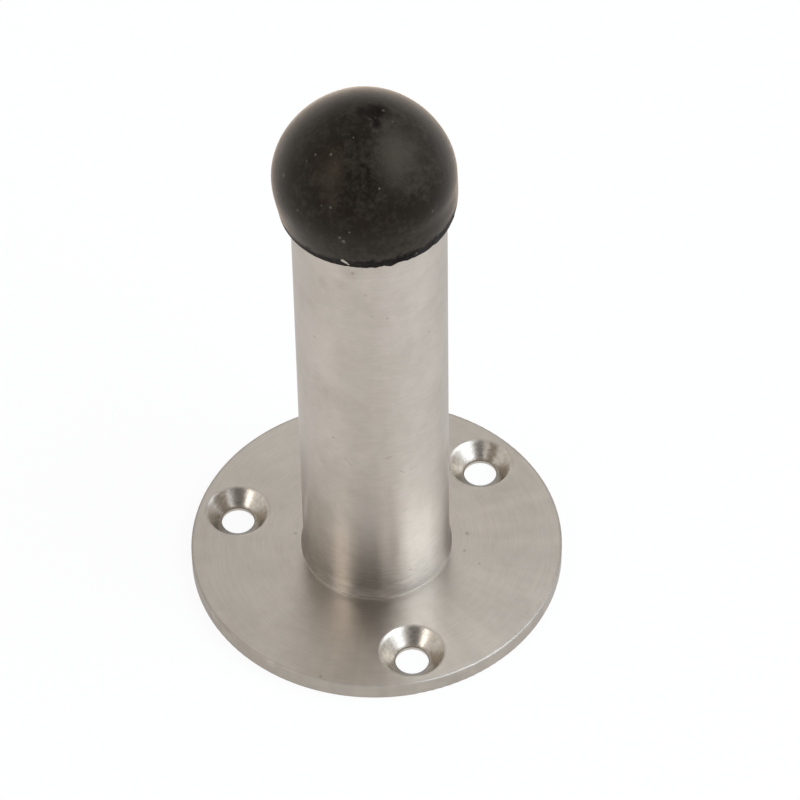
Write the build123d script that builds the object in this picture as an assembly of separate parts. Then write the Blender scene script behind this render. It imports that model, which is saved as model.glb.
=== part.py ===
from build123d import *
import os
from math import radians, tan

# A projection door stop, in millimetres. A tubular post stands on a round rose, and a rubber buffer
# is pushed into the open end of the post. A screw from the back of the rose holds the post's plug.
# The origin is the centre of the rose's back, +Z runs out from the wall along the post, and the
# first of the wood screw holes lies on -Y.

# Rose
rose_diameter = 56.0
rose_thickness = 2.8
rose_front_radius = 0.15      # rounding of the rim at the front
rose_back_radius = 0.2        # rounding of the rim at the back

# Holes for the wood screws, countersunk from the front
fixing_count = 3
fixing_bore = 5.0
fixing_mouth = 9.6            # across the countersink at the front face
fixing_margin = 1.2           # metal left between a countersink and the rim
first_fixing_angle = -90.0
countersink_angle = 90.0      # included angle, also of the post's screw

# Post
post_diameter = 22.0
post_wall = 1.2
post_length = 73.3
post_end_radius = 0.25        # rounding of the open end, outside and inside
foot_height = 2.8             # the last stretch of the post, which spreads onto the rose
foot_spread = 0.4             # how far the foot stands out past the post
foot_edge_height = 0.4        # straight edge of the foot, on the rose
foot_edge_radius = 0.25

# Screw and plug that hold the post to the rose
screw_diameter = 5.0
screw_head = 9.2
screw_length = 12.0           # overall, with its countersunk head
screw_sink = 0.15             # how far the head lies below the rose's back
screw_tip_chamfer = 0.6
screw_hole_clearance = 0.25   # round the screw in the rose
thread_clearance = 0.05       # round the screw in the plug
drive_span = 4.6              # across the cross recess at its mouth
drive_floor = 2.2             # across the cross recess at its bottom
drive_blade = 1.0
drive_depth = 1.7
plug_height = 12.0
plug_clearance = 0.02         # pressed into the post
plug_chamfer = 0.5

# Buffer
stem_length = 14.0
stem_clearance = 0.4          # between the stem and the post's bore
rib_clearance = 0.05          # between the stem's ribs and the bore
rib_count = 3
rib_height = 1.6
rib_pitch = 3.6
first_rib_depth = 3.0         # from the post's end down to the middle of the first rib
stem_tip_chamfer = 1.0
lip_overhang = 1.4            # the lip past the outside of the post
lip_height = 1.1              # straight edge of the lip
crease_depth = 0.1            # shallow groove where the lip meets the dome
crease_rise = 0.2             # from the lip's edge up to the groove
dome_swell = 0.55             # the dome's widest part past the lip
dome_widest_height = 5.4      # from the post's end up to the dome's widest part
dome_rise = 12.9              # from the widest part up to the crown
dome_fullness = 0.46          # 0.55 is a round quarter, less is more pointed

# Scar where the rubber was cut from its moulding gate
gate_mouth = 2.2
gate_floor = 0.9
gate_depth = 0.8
gate_offset = 1.55            # from the buffer's axis
gate_bearing = -40.0

post_bore = post_diameter - 2 * post_wall
post_base = rose_thickness
post_end = post_base + post_length
dome_crown = post_end + dome_widest_height + dome_rise
countersink_slope = tan(radians(countersink_angle / 2))
fixing_radius = rose_diameter / 2 - fixing_margin - fixing_mouth / 2


def turned(outline):
    # outline: lines in order, with the radius as X and the height as Y
    return revolve(make_face(Plane.XZ * (Curve() + outline)), Axis.Z)


def circle_edges(solid, radius, height):
    # the round edges of a turned solid at this radius and height
    near = 0.001
    rings = solid.edges().filter_by(GeomType.CIRCLE)
    level = [ring for ring in rings if abs(ring.arc_center.Z - height) < near]
    return [ring for ring in level if abs(ring.radius - radius) < near]


def countersunk_cutter(bore, mouth, depth):
    # a hole with its mouth at Z zero, for a plate that lies below it
    cone_end = -(mouth - bore) / 2 / countersink_slope
    spare = depth / 2
    return turned([Polyline(
        (0, spare),
        (mouth / 2 + spare * countersink_slope, spare),
        (bore / 2, cone_end),
        (bore / 2, -depth - spare),
        (0, -depth - spare),
        close=True,
    )])


def make_rose():
    radius = rose_diameter / 2
    rose = Cylinder(radius, rose_thickness, align=(Align.CENTER, Align.CENTER, Align.MIN))
    rose = fillet(circle_edges(rose, radius, rose_thickness), rose_front_radius)
    rose = fillet(circle_edges(rose, radius, 0), rose_back_radius)
    fixing = countersunk_cutter(fixing_bore, fixing_mouth, rose_thickness)
    for place in PolarLocations(fixing_radius, fixing_count, first_fixing_angle):
        rose -= Pos(0, 0, rose_thickness) * place * fixing
    seat_bore = screw_diameter + 2 * screw_hole_clearance
    seat_mouth = screw_head + 2 * screw_sink * countersink_slope
    return rose - Rot(180, 0, 0) * countersunk_cutter(seat_bore, seat_mouth, rose_thickness)


def make_post():
    outer = post_diameter / 2
    inner = post_bore / 2
    foot = outer + foot_spread
    foot_edge = post_base + foot_edge_height
    spread_end = post_base + foot_height
    post = turned([
        Line((inner, post_base), (foot, post_base)),
        Line((foot, post_base), (foot, foot_edge)),
        TangentArc((outer, spread_end), (foot, foot_edge), tangent=(0, -1)),
        Line((outer, spread_end), (outer, post_end)),
        Line((outer, post_end), (inner, post_end)),
        Line((inner, post_end), (inner, post_base)),
    ])
    post = fillet(circle_edges(post, foot, post_base), foot_edge_radius)
    end_edges = circle_edges(post, outer, post_end) + circle_edges(post, inner, post_end)
    return fillet(end_edges, post_end_radius)


def make_foot_plug():
    radius = post_bore / 2 - plug_clearance
    plug = Cylinder(radius, plug_height, align=(Align.CENTER, Align.CENTER, Align.MIN))
    plug = chamfer(circle_edges(plug, radius, plug_height), plug_chamfer)
    tapped = Cylinder(screw_diameter / 2 + thread_clearance, 3 * plug_height)
    return Pos(0, 0, post_base) * (plug - tapped)


def make_post_screw():
    head = screw_head / 2
    shank = screw_diameter / 2
    head_end = (head - shank) / countersink_slope
    screw = turned([Polyline(
        (0, 0),
        (head, 0),
        (shank, head_end),
        (shank, screw_length - screw_tip_chamfer),
        (shank - screw_tip_chamfer, screw_length),
        (0, screw_length),
        close=True,
    )])
    blade_outline = Plane.XZ * Polyline(
        (-drive_span / 2, 0),
        (drive_span / 2, 0),
        (drive_floor / 2, drive_depth),
        (-drive_floor / 2, drive_depth),
        close=True,
    )
    blade = extrude(make_face(blade_outline), drive_blade / 2, both=True)
    for turn in (0, 90):
        screw -= Rot(0, 0, turn) * blade
    return Pos(0, 0, screw_sink) * screw


def make_buffer():
    stem = post_bore / 2 - stem_clearance
    lip = post_diameter / 2 + lip_overhang
    widest = lip + dome_swell
    lip_top = post_end + lip_height
    crease = (lip - crease_depth, lip_top + crease_rise)
    equator = post_end + dome_widest_height
    stem_tip = post_end - stem_length
    buffer = turned([
        Line((0, stem_tip), (stem - stem_tip_chamfer, stem_tip)),
        Line((stem - stem_tip_chamfer, stem_tip), (stem, stem_tip + stem_tip_chamfer)),
        Line((stem, stem_tip + stem_tip_chamfer), (stem, post_end)),
        Line((stem, post_end), (lip, post_end)),
        Line((lip, post_end), (lip, lip_top)),
        Line((lip, lip_top), crease),
        TangentArc((widest, equator), crease, tangent=(0, -1)),
        Bezier(
            (widest, equator),
            (widest, equator + dome_fullness * dome_rise),
            (dome_fullness * widest, dome_crown),
            (0, dome_crown),
        ),
        Line((0, dome_crown), (0, stem_tip)),
    ])
    rib_radius = post_bore / 2 - rib_clearance
    for index in range(rib_count):
        middle = post_end - first_rib_depth - index * rib_pitch
        low = middle - rib_height / 2
        high = middle + rib_height / 2
        buffer += turned([
            Line((0, low), (stem, low)),
            ThreePointArc((stem, low), (rib_radius, middle), (stem, high)),
            Line((stem, high), (0, high)),
            Line((0, high), (0, low)),
        ])
    return buffer - make_gate_cutter()


def make_gate_cutter():
    spare = gate_depth / 4
    cutter = turned([Polyline(
        (0, -gate_depth),
        (gate_floor / 2, -gate_depth),
        (gate_mouth / 2, 0),
        (gate_mouth / 2, spare),
        (0, spare),
        close=True,
    )])
    return Rot(0, 0, gate_bearing) * Pos(gate_offset, 0, dome_crown) * cutter


os.makedirs("parts", exist_ok=True)
export_step(make_rose(), "parts/rose.step")
export_step(make_post(), "parts/post.step")
export_step(make_foot_plug(), "parts/foot_plug.step")
export_step(make_post_screw(), "parts/post_screw.step")
export_step(make_buffer(), "parts/buffer.step")
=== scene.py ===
import math

import bmesh
import bpy
from mathutils import Matrix, Vector, noise
from mathutils.geometry import interpolate_bezier


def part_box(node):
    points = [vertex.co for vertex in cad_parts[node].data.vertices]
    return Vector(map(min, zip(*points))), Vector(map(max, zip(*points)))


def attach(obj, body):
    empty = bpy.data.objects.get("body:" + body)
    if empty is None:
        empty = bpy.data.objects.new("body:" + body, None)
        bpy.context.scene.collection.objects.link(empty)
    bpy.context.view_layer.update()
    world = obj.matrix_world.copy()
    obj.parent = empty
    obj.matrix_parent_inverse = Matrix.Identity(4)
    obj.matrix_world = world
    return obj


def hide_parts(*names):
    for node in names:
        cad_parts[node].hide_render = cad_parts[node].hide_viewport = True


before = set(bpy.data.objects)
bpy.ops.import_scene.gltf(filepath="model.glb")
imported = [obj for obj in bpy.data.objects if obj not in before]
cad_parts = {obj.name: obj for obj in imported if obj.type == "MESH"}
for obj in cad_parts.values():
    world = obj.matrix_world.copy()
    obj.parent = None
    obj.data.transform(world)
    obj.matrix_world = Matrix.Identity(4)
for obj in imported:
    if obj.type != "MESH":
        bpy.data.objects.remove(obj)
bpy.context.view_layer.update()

print("frame loaded:", ", ".join(sorted(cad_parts)))

mm = 0.001
weld = 0.001 * mm              # points closer than this are merged
slack = 0.01 * mm              # for comparing lengths

# camera, fitted to the photograph; bearing 0 looks along +Y
view = {
    "bearing": -13.255,
    "elevation": 48.268,
    "roll": 0.977,
    "aim": (3.80 * mm, -0.895 * mm, 34.59 * mm),
    "distance": 679.4 * mm,
    "lens": 209.4,
    "sensor": 36,
    "pixels": 800,             # the photograph's width and height
    "clipStart": 0.01,
}


def makeCamera():
    data = bpy.data.cameras.new("camera")
    data.sensor_width = view["sensor"]
    data.lens = view["lens"]
    data.clip_start = view["clipStart"]
    camera = bpy.data.objects.new("camera", data)
    turn = Matrix.Rotation(math.radians(view["bearing"]), 4, "Z")
    tilt = Matrix.Rotation(math.radians(90 - view["elevation"]), 4, "X")
    roll = Matrix.Rotation(math.radians(-view["roll"]), 4, "Z")
    pose = turn @ tilt @ roll
    back = pose.to_3x3() @ Vector((0, 0, 1))
    camera.matrix_world = Matrix.Translation(Vector(view["aim"]) + view["distance"] * back) @ pose
    bpy.context.scene.collection.objects.link(camera)
    bpy.context.scene.camera = camera


# the place on a piece that shows at a pixel of the photograph
def seenAt(thing, x, y):
    middle = view["pixels"] / 2
    reach = view["sensor"] / (view["pixels"] * view["lens"])
    pose = bpy.context.scene.camera.matrix_world
    ray = Vector(((x + 0.5 - middle) * reach, (middle - y - 0.5) * reach, -1))
    hit, place = thing.ray_cast(pose.translation, (pose.to_3x3() @ ray).normalized())[:2]
    if not hit:
        raise ValueError("%s isn't seen at %d, %d" % (thing.name, x, y))
    return place


# a direction; bearings are counted from the camera's side, positive to the right
def towards(bearing, elevation=0):
    around = math.radians(view["bearing"] + bearing - 90)
    up = math.radians(elevation)
    return Vector((math.cos(around) * math.cos(up), math.sin(around) * math.cos(up), math.sin(up)))


# 0 at start, 1 at end and smooth between; start may be the larger
def eased(value, start, end):
    part = min(max((value - start) / (end - start), 0), 1)
    return part * part * (3 - 2 * part)


# a socket that takes part in sums, with numbers on either side
class Signal:
    def __init__(self, board, socket):
        self.board = board
        self.socket = socket

    def calc(self, operation, *values):
        return self.board.add("Math", {"operation": operation}, dict(enumerate(values)))

    def __add__(self, other):
        return self.calc("ADD", self, other)

    def __radd__(self, other):
        return self.calc("ADD", other, self)

    def __sub__(self, other):
        return self.calc("SUBTRACT", self, other)

    def __rsub__(self, other):
        return self.calc("SUBTRACT", other, self)

    def __mul__(self, other):
        return self.calc("MULTIPLY", self, other)

    def __rmul__(self, other):
        return self.calc("MULTIPLY", other, self)

    def __truediv__(self, other):
        return self.calc("DIVIDE", self, other)

    def __rtruediv__(self, other):
        return self.calc("DIVIDE", other, self)

    def root(self):
        return self.calc("SQRT", self)

    def lowest(self, other):
        return self.calc("MINIMUM", self, other)

    def highest(self, other):
        return self.calc("MAXIMUM", self, other)

    # low up to start, high from end and smooth between; start may be the larger
    def ramp(self, start, end, low=0.0, high=1.0):
        settings = {"interpolation_type": "SMOOTHSTEP"}
        sockets = {"Value": self, "From Min": start, "From Max": end, "To Min": low, "To Max": high}
        return self.board.add("MapRange", settings, sockets)


# the node tree of one material or of the world
class Board:
    def __init__(self, owner):
        owner.use_nodes = True
        self.owner = owner
        self.tree = owner.node_tree
        self.tree.nodes.clear()

    # a node; sockets go by name or number, and settings are set before them
    def add(self, kind, settings=None, sockets=None, out=0):
        node = self.tree.nodes.new("ShaderNode" + kind)
        for name, value in (settings or {}).items():
            setattr(node, name, value)
        for name, value in (sockets or {}).items():
            if isinstance(value, Signal):
                self.tree.links.new(value.socket, node.inputs[name])
            else:
                node.inputs[name].default_value = value
        return Signal(self, node.outputs[out]) if node.outputs else None

    # object coordinates in mm
    def place(self):
        spot = self.add("TexCoord", out="Object")
        return self.add("Mapping", None, {"Vector": spot, "Scale": (1 / mm,) * 3})

    def parts(self, vector):
        split = self.add("SeparateXYZ", None, {"Vector": vector})
        return [Signal(self, socket) for socket in split.socket.node.outputs]

    def joined(self, x, y, z):
        return self.add("CombineXYZ", None, {"X": x, "Y": y, "Z": z})

    def vector(self, operation, first, second, out="Value"):
        return self.add("VectorMath", {"operation": operation}, {0: first, 1: second}, out)

    # noise with this many features to the unit
    def grain(self, vector, scale=1.0, detail=2.0, roughness=0.5):
        sockets = {"Vector": vector, "Scale": scale, "Detail": detail, "Roughness": roughness}
        return self.add("TexNoise", None, sockets, out="Fac")

    # layers of noise round a middle value, each with its scale, detail, roughness and share
    def layered(self, vector, layers, middle=0.0):
        return sum(((self.grain(vector, *grain) - 0.5) * share for *grain, share in layers), middle)

    def blend(self, factor, first, second):
        return self.add("Mix", {"data_type": "RGBA"}, {0: factor, 6: first, 7: second}, out=2)

    def tinted(self, colour, tint):
        settings = {"data_type": "RGBA", "blend_type": "MULTIPLY"}
        return self.add("Mix", settings, {0: 1.0, 6: colour, 7: tint}, out=2)

    # the normal of a surface that is raised in mm by depth where height is 1
    def bumped(self, height, depth, **sockets):
        sockets = {"Strength": 1.0, "Distance": depth * mm, "Height": height, **sockets}
        return self.add("Bump", None, sockets)

    def mixed(self, factor, first, second):
        return self.add("MixShader", None, {0: factor, 1: first, 2: second})

    def close(self, kind, surface):
        self.add(kind, None, {"Surface": surface})
        return self.owner


# how far a place in the plane lies towards a bearing
def leaning(x, y, bearing):
    side = towards(bearing)
    return x * side.x + y * side.y


def fromAxis(x, y):
    return (x * x + y * y).root()


studio = {
    "openLevel": 1.04,
    "lowLevel": 0.95,          # near the horizon
    "lowEdges": (10, 32),
    "backLevel": 1.13,
    "backPlace": (180, 50),    # bearing and elevation
    "backEdges": (30, 75),
    "darkLevel": 0.2,
    "darkPlace": (-16, 52),
    "darkEdges": (14, 34),
    "shadeLevel": 0.4,         # on either side of the back
    "shadePlaces": ((-148, 50), (148, 50)),
    "shadeEdges": (6, 17),
    "white": (1, 1, 1, 1),
    "floorWhite": 0.92,        # share of plain white in what the camera sees of the floor
    "floorMirrored": 0.8,      # and in what the steel shows of it
    "floorColour": (0.8, 0.8, 0.8, 1),
    "floorSize": 6.0,
    "floorDrop": 0.05 * mm,
    "lampTarget": (0, 0, 20 * mm),
    "lamps": {
        "keyLamp": {
            "place": (75, 46), "away": 0.9, "size": (1.1, 0.66), "level": 2.5, "colour": (0.71, 0.845, 1),
        },
        "coreLamp": {
            "place": (70, 48), "away": 0.85, "size": (0.5, 0.4), "level": 2.75, "colour": (0.71, 0.845, 1),
        },
        "sideLamp": {
            "place": (-52, 41), "away": 0.9, "size": (0.26, 0.3), "level": 4.4, "colour": (1, 1, 1),
        },
    },
}


def makeLamps():
    for name, lamp in studio["lamps"].items():
        data = bpy.data.lights.new(name, "AREA")
        data.shape = "RECTANGLE"
        data.size, data.size_y = lamp["size"]
        data.energy = math.pi * lamp["level"] * data.size * data.size_y
        data.color = lamp["colour"]
        thing = bpy.data.objects.new(name, data)
        way = towards(*lamp["place"])
        thing.location = Vector(studio["lampTarget"]) + lamp["away"] * way
        thing.rotation_euler = way.to_track_quat("Z", "Y").to_euler()
        thing.visible_camera = False
        bpy.context.scene.collection.objects.link(thing)


# a soft round patch of the sky, 1 inside the first edge and 0 outside the second, in degrees
def skyPatch(board, way, place, edges):
    inner, outer = (math.cos(math.radians(edge)) for edge in edges)
    return board.vector("DOT_PRODUCT", way, towards(*place)).ramp(outer, inner)


def makeWorld():
    world = bpy.data.worlds.new("studio")
    bpy.context.scene.world = world
    board = Board(world)
    way = board.add("TexCoord", out="Generated")
    up = board.parts(way)[2]
    low, high = (math.sin(math.radians(edge)) for edge in studio["lowEdges"])
    level = up.ramp(high, low, studio["openLevel"], studio["lowLevel"])
    patches = [(studio["backLevel"], studio["backPlace"], studio["backEdges"]),
               (studio["darkLevel"], studio["darkPlace"], studio["darkEdges"])]
    patches += [(studio["shadeLevel"], place, studio["shadeEdges"]) for place in studio["shadePlaces"]]
    for patchLevel, place, edges in patches:
        level = level + (patchLevel - level) * skyPatch(board, way, place, edges)
    light = board.add("Background", None, {"Strength": level})
    white = board.add("Background", None, {"Color": studio["white"], "Strength": 1.0})
    board.close("OutputWorld", board.mixed(board.add("LightPath", out="Is Camera Ray"), light, white))


def makeFloor():
    bm = bmesh.new()
    bmesh.ops.create_grid(bm, x_segments=1, y_segments=1, size=studio["floorSize"] / 2)
    bmesh.ops.translate(bm, verts=bm.verts, vec=(0, 0, -studio["floorDrop"]))
    floor = finishMesh("floor", bm, smooth=False)
    board = Board(bpy.data.materials.new("paleFloor"))
    lit = board.add("BsdfDiffuse", None, {"Color": studio["floorColour"]})
    white = board.add("Emission", None, {"Strength": 1.0})
    seen, glossy, through = (board.add("LightPath", out="Is %s Ray" % kind)
                             for kind in ("Camera", "Glossy", "Transmission"))
    share = (seen * studio["floorWhite"]).highest(glossy.highest(through) * studio["floorMirrored"])
    top = board.mixed(share, lit, white)
    below = board.add("NewGeometry", out="Backfacing")      # the floor is clear from below
    board.close("OutputMaterial", board.mixed(below, top, board.add("BsdfTransparent")))
    floor.data.materials.append(board.owner)


def finishMesh(name, bm, smooth=True):
    mesh = bpy.data.meshes.new(name)
    bm.to_mesh(mesh)
    bm.free()
    mesh.polygons.foreach_set("use_smooth", [smooth] * len(mesh.polygons))
    thing = bpy.data.objects.new(name, mesh)
    bpy.context.scene.collection.objects.link(thing)
    return thing


# what the rose and the post share; lengths on the steel are in mm
steel = {
    "colour": (0.56, 0.51, 0.452, 1),
    "cloud": (0.50, 0.452, 0.396, 1),
    "clouds": ((0.11, 2.0, 0.5, 1.3), (0.55, 4.0, 0.5, 1.1)),
    "cloudMiddle": 0.6,
    "linePitch": 0.22,         # brush lines
    "lineLength": 2.0,         # at lineRadius from the axis
    "lineRadius": 11.0,
    "lineCentre": 1.0,         # the lines don't run round inside this radius
    "lineGrain": {"detail": 4.0, "roughness": 0.6},
    "lineEdges": (0.25, 0.75),
    "lineTints": ((0.95, 0.95, 0.95, 1), (1.04, 1.04, 1.04, 1)),
    "across": 0.25,            # a quarter turn, because the lines run round the axis
    "grazing": (0.8, 0.8, 0.8, 1),       # holds back the light at the edges of round steel
    # painted highlight: the light line where the post's foot meets the rose
    "seamHighlightColour": (0.66, 0.62, 0.57, 1),
    "ragged": ((1.2, 5.0, 0.6, 1.8),),   # noise that tears the marks' edges
    # edges are shares of a mark's own radius
    "stain": {"colour": (0.40, 0.345, 0.29, 1), "cover": 0.3, "edges": (1.5, 0.0), "torn": 1.0},
    "speck": {"colour": (0.17, 0.145, 0.12, 1), "cover": 0.42, "edges": (1.7, 0.2), "torn": 1.0},
    "scratch": {"colour": (0.17, 0.145, 0.12, 1), "cover": 0.42, "edges": (1.6, 0.4), "torn": 0.8},
}


# the noise of brush lines that run round the axis
def brushLines(board, x, y, z, radius):
    turn = steel["lineRadius"] / (radius.highest(steel["lineCentre"]) * steel["lineLength"])
    drawn = board.joined((radius + z) / steel["linePitch"], x * turn, y * turn)
    return board.grain(drawn, **steel["lineGrain"])


# distance to the nearest mark as a share of its radius; a mark is one pixel, or a line between two
def nearestMark(board, spot, thing, marks):
    closest = None
    for *pixels, radius in marks:
        start = seenAt(thing, *pixels[:2]) / mm
        off = board.vector("SUBTRACT", spot, start, out=0)
        reached = (0, 0, 0)
        if len(pixels) > 2:
            run = seenAt(thing, *pixels[2:]) / mm - start
            share = (board.vector("DOT_PRODUCT", off, run) / run.length_squared).highest(0.0).lowest(1.0)
            reached = board.add("VectorMath", {"operation": "SCALE"}, {0: run, "Scale": share})
        gap = board.vector("DISTANCE", off, reached) / radius
        closest = gap if closest is None else closest.lowest(gap)
    return closest


def steelColour(board, spot, lines, thing, marks):
    clouds = board.layered(spot, steel["clouds"], steel["cloudMiddle"]).ramp(0.0, 1.0)
    colour = board.blend(clouds, steel["cloud"], steel["colour"])
    colour = board.tinted(colour, board.blend(lines.ramp(*steel["lineEdges"]), *steel["lineTints"]))
    ragged = board.layered(spot, steel["ragged"])
    for kind, places in marks.items():
        mark = steel[kind]
        cover = (nearestMark(board, spot, thing, places) + ragged * mark["torn"]).ramp(*mark["edges"])
        colour = board.blend(cover * mark["cover"], colour, mark["colour"])
    return colour


# the normal of a surface with rounded edges and raised lines
def raised(board, lines, finish):
    rounded = board.add("Bevel", {"samples": finish["samples"]}, {"Radius": finish["edge"] * mm})
    return board.bumped(lines, finish["lineDepth"], Normal=rounded)


def brushed(board, colour, lines, finish, roughness):
    return board.add("BsdfPrincipled", None, {
        "Base Color": colour,
        "Metallic": 1.0,
        "Specular Tint": steel["grazing"],
        "Roughness": (lines - 0.5) * finish["uneven"] + roughness,
        "Anisotropic": finish["brushing"],
        "Anisotropic Rotation": steel["across"],
        "Normal": raised(board, lines, finish),
    })


post = {
    "roughness": 0.33,
    "uneven": 0.035,
    "brushing": 0.85,
    "lineDepth": 0.001,
    "edge": 0.15,              # rounding of its edges
    "samples": 6,
    "patchScales": (0.16, 0.16, 0.07),   # large faint clouds, longer up the post
    "patchGrain": {"detail": 3.0, "roughness": 0.6},
    "patchEdges": (0.35, 0.65),
    "patchTints": ((0.955, 0.95, 0.945, 1), (1.03, 1.015, 1.02, 1)),
    "footHeights": (16.0, 4.0),          # painted shade: the foot grows darker between these
    "footEdges": (0.3, 0.7),
    "footShadeTints": ((0.72, 0.72, 0.73, 1), (0.88, 0.88, 0.89, 1)),
    "sideShadeBearing": 47,         # and has more painted shade on this side
    "sideShadeEdges": (0.7, 0.93),
    "sideShadeTint": (0.88, 0.88, 0.88, 1),
    "seamHeights": (3.3, 2.95),          # painted highlight: the light line where the foot meets the rose
    # pixels of the photograph with a radius; a scratch runs from one pixel to another
    "marks": {
        "stain": ((348, 273, 1.3), (340, 283, 1.2), (322, 283, 1.0), (336, 398, 2.6), (326, 392, 1.6)),
        "speck": ((314, 336, 0.2), (372, 316, 0.16), (387, 318, 0.18), (313, 404, 0.15), (352, 273, 0.25),
                  (365, 295, 0.15), (429, 331, 0.2), (410, 569, 0.2), (333, 437, 0.18)),
        "scratch": ((385, 458, 391, 456, 0.07), (399, 470, 404, 472, 0.07), (410, 469, 416, 465, 0.06),
                    (402, 511, 407, 508, 0.07), (344, 457, 352, 466, 0.05)),
    },
}


def postFinish(thing):
    board = Board(bpy.data.materials.new("postSteel"))
    spot = board.place()
    x, y, z = board.parts(spot)
    radius = fromAxis(x, y)
    lines = brushLines(board, x, y, z, radius)
    colour = steelColour(board, spot, lines, thing, post["marks"])
    spread = board.joined(*(part * scale for part, scale in zip((x, y, z), post["patchScales"])))
    patches = board.grain(spread, **post["patchGrain"]).ramp(*post["patchEdges"])
    colour = board.tinted(colour, board.blend(patches, *post["patchTints"]))
    # painted shade: darker towards the foot, more on one side
    foot = z.ramp(*post["footHeights"])
    footShade = board.tinted(colour, board.blend(lines.ramp(*post["footEdges"]), *post["footShadeTints"]))
    colour = board.blend(foot, colour, footShade)
    sideShade = (leaning(x, y, post["sideShadeBearing"]) / radius).ramp(*post["sideShadeEdges"]) * foot
    colour = board.blend(sideShade, colour, board.tinted(colour, post["sideShadeTint"]))
    # painted highlight along the foot's lower edge
    colour = board.blend(z.ramp(*post["seamHeights"]), colour, steel["seamHighlightColour"])
    return board.close("OutputMaterial", brushed(board, colour, lines, post, post["roughness"]))


rose = {
    "roughness": 0.28,
    "outerRoughness": 0.37,
    "roughRadii": (12.0, 25.0),          # from the one to the other between these
    "uneven": 0.03,
    "brushing": 0.3,
    "lineDepth": 0.0002,
    "edge": 0.45,
    "samples": 6,
    "rimRadii": (27.55, 27.9),           # the rim is rougher than the face, and darker in patches as painted shade
    "rimGrain": {"scale": 0.35, "detail": 3.0},
    "rimEdges": (0.05, 0.5),
    "rimShadeTint": (0.78, 0.77, 0.76, 1),
    "rimRoughness": 0.12,
    "raysToRadian": 7.0,       # painted highlight: faint rays of light on one side
    "rayGrain": {"detail": 3.0},
    "rayEdges": (0.4, 0.75),
    "rayRadii": (12.0, 18.0),
    "rayBearing": 50,
    "raySides": (-0.1, 0.6),
    "rayHighlightTint": (1.1, 1.1, 1.1, 1),
    "seamRadii": (11.55, 11.42),         # painted highlight: the light line round the post's foot
    "frontHeights": (2.6, 2.75),
    "marks": {
        "speck": ((467, 533, 0.3), (464, 550, 0.26), (295, 533, 0.26), (320, 676, 0.25), (479, 563, 0.15)),
    },
}
# the three countersinks, a little brighter on one side as a painted highlight
countersink = {
    "circle": 22.0,
    "bearings": (-90, 30, 150),
    "mouth": 4.8,
    "soft": 0.5,
    "heights": (0.42, 0.5),    # not on the rose's back
    "bore": 2.5,
    "boreShade": 0.14,             # painted shade: a dark rim round the bore
    "boreShadeColour": (0.2, 0.17, 0.14, 1),
    "tint": (0.86, 0.85, 0.835, 1),
    "litTint": (1.15, 1.14, 1.13, 1),
    "litBearing": 65,
    "centre": 0.1,             # no bearing is told inside this radius
    "litSides": (-0.3, 0.6),
    "litReach": (2, 1),        # past the mouth
    "smearGrain": {"scale": 1.4, "detail": 5.0, "roughness": 0.65},
    "smearEdges": (0.35, 0.62),
    "smearTints": ((0.84, 0.825, 0.8, 1), (1.06, 1.06, 1.06, 1)),
    "grazing": (0.38, 0.38, 0.38, 1),
    "roughness": 0.27,
    "uneven": 0.08,
    "ringPitch": 0.3,
    "ringGrain": {"detail": 3.0},
    "lineDepth": 0.003,
    "edge": 1.1,
    "samples": 8,
}


def roseFinish(thing):
    board = Board(bpy.data.materials.new("roseSteel"))
    spot = board.place()
    x, y, z = board.parts(spot)
    radius = fromAxis(x, y)
    lines = brushLines(board, x, y, z, radius)
    colour = steelColour(board, spot, lines, thing, rose["marks"])
    atRim = radius.ramp(*rose["rimRadii"])
    # painted shade on the rim, in patches
    rim = atRim * board.grain(spot, **rose["rimGrain"]).ramp(*rose["rimEdges"])
    colour = board.blend(rim, colour, board.tinted(colour, rose["rimShadeTint"]))
    # painted highlight: faint rays on one side of the rose
    around = board.joined(x / radius * rose["raysToRadian"], y / radius * rose["raysToRadian"], 0.0)
    rays = board.grain(around, **rose["rayGrain"]).ramp(*rose["rayEdges"]) * radius.ramp(*rose["rayRadii"])
    rays = rays * (leaning(x, y, rose["rayBearing"]) / radius).ramp(*rose["raySides"])
    colour = board.blend(rays, colour, board.tinted(colour, rose["rayHighlightTint"]))
    # painted highlight round the post's foot
    seamHighlight = radius.ramp(*rose["seamRadii"]) * z.ramp(*rose["frontHeights"])
    colour = board.blend(seamHighlight, colour, steel["seamHighlightColour"])
    roughness = radius.ramp(*rose["roughRadii"], rose["roughness"], rose["outerRoughness"])
    roughness = roughness + atRim * rose["rimRoughness"]
    face = brushed(board, colour, lines, rose, roughness)
    inside, cone = countersinkFinish(board, spot, colour)
    return board.close("OutputMaterial", board.mixed(inside, face, cone))


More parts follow.
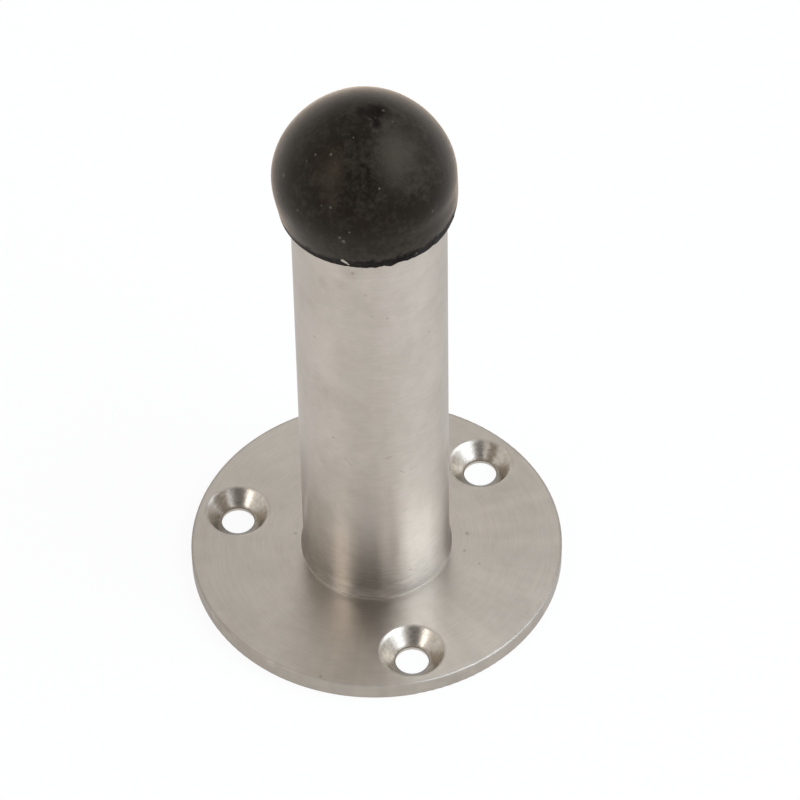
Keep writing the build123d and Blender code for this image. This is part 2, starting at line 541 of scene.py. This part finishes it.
# where the countersinks are, and their shader
def countersinkFinish(board, spot, colour):
    x, y, z = board.parts(spot)
    mouth, bore = countersink["mouth"], countersink["bore"]
    nearest = lit = None
    for bearing in countersink["bearings"]:
        angle = math.radians(bearing)
        across = x - countersink["circle"] * math.cos(angle)
        along = y - countersink["circle"] * math.sin(angle)
        radius = fromAxis(across, along)
        side = leaning(across, along, countersink["litBearing"]) / radius.highest(countersink["centre"])
        side = side.ramp(*countersink["litSides"])
        side = side * radius.ramp(*(mouth + reach for reach in countersink["litReach"]))
        nearest = radius if nearest is None else nearest.lowest(radius)
        lit = side if lit is None else lit + side
    # painted highlight on one side of each countersink
    plain, bright = (board.tinted(colour, countersink[tint]) for tint in ("tint", "litTint"))
    smears = board.grain(spot, **countersink["smearGrain"]).ramp(*countersink["smearEdges"])
    colour = board.tinted(board.blend(lit, plain, bright), board.blend(smears, *countersink["smearTints"]))
    # painted shade round the bore
    boreShade = nearest.ramp(bore + countersink["boreShade"], bore + countersink["boreShade"] / 3)
    turns = board.joined(nearest / countersink["ringPitch"], 0.0, 0.0)
    rings = board.grain(turns, **countersink["ringGrain"])
    cone = board.add("BsdfPrincipled", None, {
        "Base Color": board.blend(boreShade, colour, countersink["boreShadeColour"]),
        "Metallic": 1.0,
        "Specular Tint": countersink["grazing"],
        "Roughness": (rings - 0.5) * countersink["uneven"] + countersink["roughness"],
        "Normal": raised(board, rings, countersink),
    })
    inside = nearest.ramp(mouth + countersink["soft"], mouth - countersink["soft"])
    return inside * z.ramp(*countersink["heights"]), cone


# hidden pieces that were turned on a lathe; lengths in mm
turned = {
    "ringPitch": 0.16,
    "ringDepth": 0.004,
    "ringGrain": {"detail": 3.0},
    "ringShare": 0.8,
    "clouds": ((0.5, 4.0, 0.5, 1.6),),
    "uneven": 0.12,
}
plugSteel = {
    "light": (0.46, 0.44, 0.41, 1),
    "dark": (0.34, 0.32, 0.30, 1),
    "roughness": 0.36,
    "paintedShades": (),
}
# painted shade in the cross recess and a painted contact shadow round the rim of the head
screwSteel = {
    "light": (0.62, 0.63, 0.65, 1),
    "dark": (0.46, 0.47, 0.49, 1),
    "roughness": 0.26,
    "paintedShades": (
        {"radii": (2.5, 2.35), "heights": ((0.17, 0.45), (2.3, 2.1)), "colour": (0.075, 0.073, 0.07, 1)},
        {"radii": (4.4, 4.57), "heights": ((0.4, 0.25),), "colour": (0.14, 0.135, 0.13, 1)},
    ),
}


def turnedFinish(name, finish):
    board = Board(bpy.data.materials.new(name))
    spot = board.place()
    x, y, z = board.parts(spot)
    radius = fromAxis(x, y)
    pitch = turned["ringPitch"]
    rings = board.grain(board.joined(radius / pitch, z / pitch, 0.0), **turned["ringGrain"])
    tone = board.layered(spot, turned["clouds"]) + (rings - 0.5) * turned["ringShare"]
    colour = board.blend((tone + 0.5).ramp(0.0, 1.0), finish["dark"], finish["light"])
    # painted shade where the finish lists it
    for shade in finish["paintedShades"]:
        cover = radius.ramp(*shade["radii"])
        for heights in shade["heights"]:
            cover = cover * z.ramp(*heights)
        colour = board.blend(cover, colour, shade["colour"])
    return board.close("OutputMaterial", board.add("BsdfPrincipled", None, {
        "Base Color": colour,
        "Metallic": 1.0,
        "Roughness": tone * turned["uneven"] + finish["roughness"],
        "Normal": board.bumped(rings, turned["ringDepth"]),
    }))


def dressSteel():
    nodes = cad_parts
    bpy.context.view_layer.update()
    finishes = {
        "rose": roseFinish(nodes["rose"]),
        "post": postFinish(nodes["post"]),
        "foot_plug": turnedFinish("plugSteel", plugSteel),
    }
    for node, finish in finishes.items():
        nodes[node].data.materials.clear()
        nodes[node].data.materials.append(finish)
    print("steel dressed:", ", ".join(finishes))


# adds an outline of radii and heights, and spins it round the axis
def spinOutline(bm, outline, steps):
    verts = [bm.verts.new((radius, 0, height)) for radius, height in outline]
    edges = [bm.edges.new(pair) for pair in zip(verts, verts[1:])]
    bmesh.ops.spin(bm, geom=verts + edges, axis=(0, 0, 1), cent=(0, 0, 0), dvec=(0, 0, 0),
                   angle=2 * math.pi, steps=steps, use_merge=True, use_duplicate=False)
    bmesh.ops.remove_doubles(bm, verts=bm.verts, dist=weld)


screw = {
    "radius": 2.5 * mm,
    "headCut": 2.5 * mm,       # the head is kept up to here
    "start": 2.65 * mm,        # and the thread's shank is joined on from here
    "runOut": 0.7 * mm,
    "pitch": 0.8 * mm,
    "depth": 0.46 * mm,
    "crest": 0.125,            # flat shares of the pitch
    "valley": 0.25,
    "tipChamfer": 0.6 * mm,
    "rows": 150,
    "chamferRows": 8,
    "steps": 72,
    "sharp": 35,
}


# the screw with a thread, which keeps the head of the frame's own
def makeScrew():
    bm = bmesh.new()
    bm.from_mesh(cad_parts["post_screw"].data)
    bmesh.ops.remove_doubles(bm, verts=bm.verts, dist=weld)
    bmesh.ops.bisect_plane(bm, geom=bm.verts[:] + bm.edges[:] + bm.faces[:], dist=weld / 10,
                           plane_co=(0, 0, screw["headCut"]), plane_no=(0, 0, 1), clear_outer=True)
    radius, chamfer, rows, last = screw["radius"], screw["tipChamfer"], screw["rows"], screw["chamferRows"]
    start, tip = screw["start"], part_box("post_screw")[1].z
    outline = [(radius, start + (tip - chamfer - start) * row / rows) for row in range(rows + 1)]
    outline += [(radius - chamfer * row / last, tip - chamfer * (1 - row / last))
                for row in range(1, last + 1)]
    spinOutline(bm, outline + [(0, tip)], screw["steps"])
    cutThread(bm)
    bmesh.ops.bridge_loops(bm, edges=[edge for edge in bm.edges if edge.is_boundary])
    bmesh.ops.recalc_face_normals(bm, faces=bm.faces)
    thing = finishMesh("threaded_screw", bm)
    thing.data.set_sharp_from_angle(angle=math.radians(screw["sharp"]))
    thing.data.materials.append(turnedFinish("screwSteel", screwSteel))
    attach(thing, "root")
    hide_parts("post_screw")
    print("screw:", len(thing.data.polygons), "faces")


# a right-hand thread, which fades in below the head
def cutThread(bm):
    flank = 1 - screw["crest"] - screw["valley"]
    for vert in bm.verts:
        radius = vert.co.xy.length
        if vert.co.z < screw["start"] - slack or radius < screw["radius"] - screw["tipChamfer"] - slack:
            continue
        turn = math.atan2(vert.co.y, vert.co.x) / (2 * math.pi)
        phase = (vert.co.z / screw["pitch"] - turn) % 1
        share = min(max((abs(2 * phase - 1) - screw["crest"]) / flank, 0), 1)
        fade = eased(vert.co.z, screw["start"], screw["start"] + screw["runOut"])
        wanted = screw["radius"] - screw["depth"] * share * fade
        if wanted < radius:
            vert.co.xy *= wanted / radius


buffer = {
    "stemLength": 14.0 * mm,
    "stemRadius": 9.4 * mm,
    "tipChamfer": 1.0 * mm,
    "ribRadius": 9.75 * mm,
    "ribHeight": 1.6 * mm,
    "ribPitch": 3.6 * mm,
    "firstRib": 3.0 * mm,
    "ribs": 3,
    "ribRows": 6,
    "lipInner": 10.4 * mm,     # the lip lies outside this radius
    "lipRadius": 12.4 * mm,
    "lipHeight": 1.1 * mm,
    "lipRounding": 0.12 * mm,
    "flankPower": 1.9,         # how late the flank turns in towards the lip
    "flankRows": 26,
    "widestHeight": 5.4 * mm,
    "fullness": 0.46,          # of the dome, as a share of its two handles
    "domeRows": 47,
    "steps": 256,
    "lipShift": (-0.26 * mm, -0.19 * mm, 0),       # the rubber sits a little askew in the tube
    "domeShift": (-0.51 * mm, 0.12 * mm, 0),
    "leanStart": 2 * mm,       # below the post's end
    "swell": 0.05 * mm,        # slow unevenness of the moulding
    "swellSize": 5 * mm,
    "ragged": 0.24 * mm,       # flash along the lip's lower edge
    "raggedWaves": ((0.9 * mm, 1.0), (0.35 * mm, 0.5)),      # size and share
    "raggedBearing": 38,       # where the flash is worst
    "raggedSides": (0.6, 0.95),
    "raggedLeast": 0.35,       # share of it elsewhere
    "raggedTop": 0.3,          # and at the lip's top
    "hanging": 2.3,            # it hangs this much further than it stands out
    "hangingWidth": 0.5 * mm,
    "flashWidth": 1.0 * mm,    # clear of the post's wall
}
# the scar of the moulding's gate, with a tail towards the camera's side
scar = {
    "place": (0.75 * mm, -0.95 * mm),
    "radius": 1.75 * mm,
    "depth": 0.4 * mm,
    "floor": 0.15,             # flat share of the radius
    "tail": 1.9 * mm,
    "tailRadius": 0.7 * mm,
    "tailDepth": 0.15 * mm,
    "unevenness": 0.2,
    "outlineSize": 0.8 * mm,
    "grainSize": 0.35 * mm,
    "fineDepth": 2 * mm,       # rings this near the crown are divided
    "fineMargin": 1 * mm,
    "cuts": 2,
    "reach": 3 * mm,           # nothing further below the crown moves
}


# half outline of the buffer, from the stem's tip to the crown
def bufferOutline():
    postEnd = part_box("post")[1].z
    widest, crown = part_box("buffer")[1].x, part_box("buffer")[1].z
    stem, tip = buffer["stemRadius"], postEnd - buffer["stemLength"]
    points = [(0, tip), (stem - buffer["tipChamfer"], tip), (stem, tip + buffer["tipChamfer"])]
    for index in reversed(range(buffer["ribs"])):
        middle = postEnd - buffer["firstRib"] - index * buffer["ribPitch"]
        for row in range(buffer["ribRows"] + 1):
            part = 2 * row / buffer["ribRows"] - 1
            swell = (buffer["ribRadius"] - stem) * (1 - part * part)
            points.append((stem + swell, middle + part * buffer["ribHeight"] / 2))
    lip, small = buffer["lipRadius"], buffer["lipRounding"]
    points += [(stem, postEnd), (lip - buffer["flashWidth"], postEnd), (lip - 2 * small, postEnd),
               (lip - small, postEnd), (lip - 0.3 * small, postEnd + 0.3 * small)]
    equator, rows = postEnd + buffer["widestHeight"], buffer["flankRows"]
    for part in (1 - row / rows for row in range(rows + 1)):
        points.append((widest - (widest - lip) * part ** buffer["flankPower"],
                       equator - (equator - postEnd - small) * part))
    handle = buffer["fullness"] * (crown - equator)
    dome = interpolate_bezier(
        Vector((widest, equator, 0)), Vector((widest, equator + handle, 0)),
        Vector((buffer["fullness"] * widest, crown, 0)), Vector((0, crown, 0)), buffer["domeRows"] + 1)
    return points + [(point.x, point.y) for point in dome[1:]]


def makeBuffer():
    bm = bmesh.new()
    spinOutline(bm, bufferOutline(), buffer["steps"])
    divideCrown(bm)
    bmesh.ops.recalc_face_normals(bm, faces=bm.faces)
    setAskew(bm)
    cutScar(bm)
    thing = finishMesh("rubber_buffer", bm)
    bpy.context.view_layer.update()
    thing.data.materials.append(rubberFinish(thing))
    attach(thing, "root")
    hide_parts("buffer")
    print("buffer:", len(thing.data.polygons), "faces")


# finer rings round the crown, for the scar
def divideCrown(bm):
    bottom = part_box("buffer")[1].z - scar["fineDepth"]
    reach = scar["radius"] + scar["tail"] + scar["fineMargin"]
    spokes = [edge for edge in bm.edges
              if all(vert.co.z > bottom and vert.co.xy.length < reach for vert in edge.verts)
              and abs(edge.verts[0].co.xy.length - edge.verts[1].co.xy.length) > slack]
    bmesh.ops.subdivide_edges(bm, edges=spokes, cuts=scar["cuts"])


# the rubber's lean, the slow unevenness of its skin and the flash on its lip
def setAskew(bm):
    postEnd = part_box("post")[1].z
    lipTop = postEnd + buffer["lipHeight"]
    lipShift, domeShift = Vector(buffer["lipShift"]), Vector(buffer["domeShift"])
    worst = towards(buffer["raggedBearing"])
    least, top = buffer["raggedLeast"], buffer["raggedTop"]
    for vert in bm.verts:
        out = Vector((vert.co.x, vert.co.y, 0)).normalized()
        if vert.co.z > lipTop:
            vert.co += out * buffer["swell"] * noise.noise(vert.co / buffer["swellSize"])
        elif vert.co.xy.length > buffer["lipInner"]:
            edge = eased(vert.co.z, lipTop, postEnd)
            rough = least + (1 - least) * eased(out.dot(worst), *buffer["raggedSides"])
            flat = vert.co.xy.to_3d()
            wave = sum(share * noise.noise(flat / size) for size, share in buffer["raggedWaves"])
            vert.co += out * buffer["ragged"] * rough * wave * (top + (1 - top) * edge)
            if vert.co.xy.length > buffer["lipRadius"] - buffer["hangingWidth"]:
                vert.co.z += buffer["ragged"] * buffer["hanging"] * rough * wave * edge
        atLip = eased(vert.co.z, postEnd - buffer["leanStart"], postEnd)
        atDome = eased(vert.co.z, lipTop, postEnd + buffer["widestHeight"])
        vert.co += lipShift * atLip * (1 - atDome) + domeShift * atDome


def cutScar(bm):
    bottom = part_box("buffer")[1].z - scar["reach"]
    centre = Vector(scar["place"])
    way = towards(0).xy
    for vert in bm.verts:
        if vert.co.z < bottom:
            continue
        off = vert.co.xy - centre
        along = min(max(off.dot(way), 0), scar["tail"])
        wobble = 1 + scar["unevenness"] * noise.noise(vert.co / scar["outlineSize"])
        pit = off.length / (scar["radius"] * wobble)
        groove = (off - way * along).length / (scar["tailRadius"] * wobble)
        depth = scar["depth"] * (1 - eased(pit, scar["floor"], 1))
        tail = scar["tailDepth"] * (1 - eased(groove, 0, 1))
        uneven = 1 + scar["unevenness"] * noise.noise(vert.co / scar["grainSize"])
        vert.co.z -= math.hypot(depth, tail) * uneven


rubber = {
    "dark": (0.0004, 0.0003, 0.0003, 1),
    "light": (0.0155, 0.0128, 0.0104, 1),
    "grains": ((0.3, 6.0, 0.62), (1.3, 4.0, 0.6), (5.0, 3.0, 0.5)),      # clouds, blotches and fine grain
    "toneShares": (2.8, 2.2, 0.7),
    "toneMiddle": 0.32,
    "roughness": 0.4,
    "roughShares": (0.3, 0.28),
    "reflection": 0.25,
    "reflectionTint": (1, 0.79, 0.58, 1),
    "sheen": 0.8,              # of its dusty skin
    "sheenRoughness": 0.28,
    "sheenTint": (1, 0.73, 0.5, 1),
    "pimpleDepth": 0.012,
    "blotchDepth": 2.0,        # as a share of it
    # painted shade: the strip along the lip, which is darker and higher on one side
    "edgeHeights": (78.1, 77.1),
    "edgeShares": (1.6, 1.2),
    "edgeBearing": 70,
    "edgeLean": 0.045,
    "edgeShadeTint": (0.8, 0.8, 0.8, 1),
    "edgeRoughness": 0.6,
    "edgeReflection": 0.12,
    "edgeReflectionTint": (1, 0.8, 0.62, 1),
    # marks, as pixels of the photograph with a radius in mm
    "scar": {
        "colour": (0.0004, 0.0004, 0.0004, 1),
        "edges": (1.7, 0.1),
        "torn": 1.2,
        "roughness": 0.4,
        "strip": 0.6,          # share of the strip's finish in it
        "places": ((365, 112, 380, 110, 1.0), (374, 113, 376, 124, 0.6)),
    },
    "dust": {
        "colour": (0.1, 0.088, 0.074, 1),
        "edges": (1.5, 0.2),
        "torn": 3.2,
        "cover": 0.85,
        "places": ((330, 154, 0.2), (315, 154, 0.13), (283, 175, 0.24), (277, 192, 0.2), (330, 207, 0.18),
                   (297, 210, 0.15), (339, 237, 0.2), (343, 241, 0.24), (379, 188, 0.14), (432, 210, 0.16),
                   (353, 137, 0.12), (375, 117, 0.08), (383, 110, 0.2), (416, 253, 0.2), (306, 160, 0.1),
                   (321, 205, 0.1), (392, 121, 0.1), (349, 232, 0.12)),
    },
    "nick": {
        "colour": (0.55, 0.48, 0.4, 1),
        "edges": (1.3, 0.6),
        "torn": 1.2,
        "places": ((342, 260, 345, 262, 0.26), (345, 262, 348, 264, 0.14)),
    },
}


# a value with a share of each grain added
def weighted(grains, shares, value):
    return sum((grain * share for grain, share in zip(grains, shares)), value)


# where one kind of mark covers the rubber
def rubberMark(board, spot, thing, mark, grain):
    return (nearestMark(board, spot, thing, mark["places"]) + grain * mark["torn"]).ramp(*mark["edges"])


def rubberFinish(thing):
    board = Board(bpy.data.materials.new("bufferRubber"))
    spot = board.place()
    x, y, z = board.parts(spot)
    grains = [board.grain(spot, *grain) - 0.5 for grain in rubber["grains"]]
    blotch, fine = grains[1:]
    tone = weighted(grains, rubber["toneShares"], rubber["toneMiddle"])
    colour = board.blend(tone.ramp(0.0, 1.0), rubber["dark"], rubber["light"])
    cut = rubberMark(board, spot, thing, rubber["scar"], blotch)
    colour = board.blend(cut, colour, rubber["scar"]["colour"])
    dust = rubberMark(board, spot, thing, rubber["dust"], fine) * rubber["dust"]["cover"]
    colour = board.blend(dust, colour, rubber["dust"]["colour"])
    torn = rubberMark(board, spot, thing, rubber["nick"], fine)
    colour = board.blend(torn, colour, rubber["nick"]["colour"])
    height = board.bumped(fine + blotch * rubber["blotchDepth"], rubber["pimpleDepth"])
    roughness = weighted(grains, rubber["roughShares"], rubber["roughness"])
    skin = board.add("BsdfPrincipled", None, {
        "Base Color": colour,
        "Roughness": roughness + cut * rubber["scar"]["roughness"],
        "Specular IOR Level": rubber["reflection"],
        "Specular Tint": rubber["reflectionTint"],
        "Sheen Weight": rubber["sheen"],
        "Sheen Roughness": rubber["sheenRoughness"],
        "Sheen Tint": rubber["sheenTint"],
        "Normal": height,
    })
    # the strip's finish: darker as painted shade, with less reflection and no sheen
    edge = board.add("BsdfPrincipled", None, {
        "Base Color": board.tinted(colour, rubber["edgeShadeTint"]),
        "Roughness": rubber["edgeRoughness"],
        "Specular IOR Level": rubber["edgeReflection"],
        "Specular Tint": rubber["edgeReflectionTint"],
        "Normal": height,
    })
    # where the strip of painted shade lies, higher on one side
    level = z - leaning(x, y, rubber["edgeBearing"]) * rubber["edgeLean"]
    level = weighted(grains, rubber["edgeShares"], level)
    strip = level.ramp(*rubber["edgeHeights"]).highest(cut * rubber["scar"]["strip"])
    return board.close("OutputMaterial", board.mixed(strip, skin, edge))


makeCamera()
makeWorld()
makeLamps()
makeFloor()
print("studio ready:", len(studio["lamps"]), "lamps")
dressSteel()
makeScrew()
makeBuffer()
bpy.context.scene.view_settings.view_transform = "Standard"
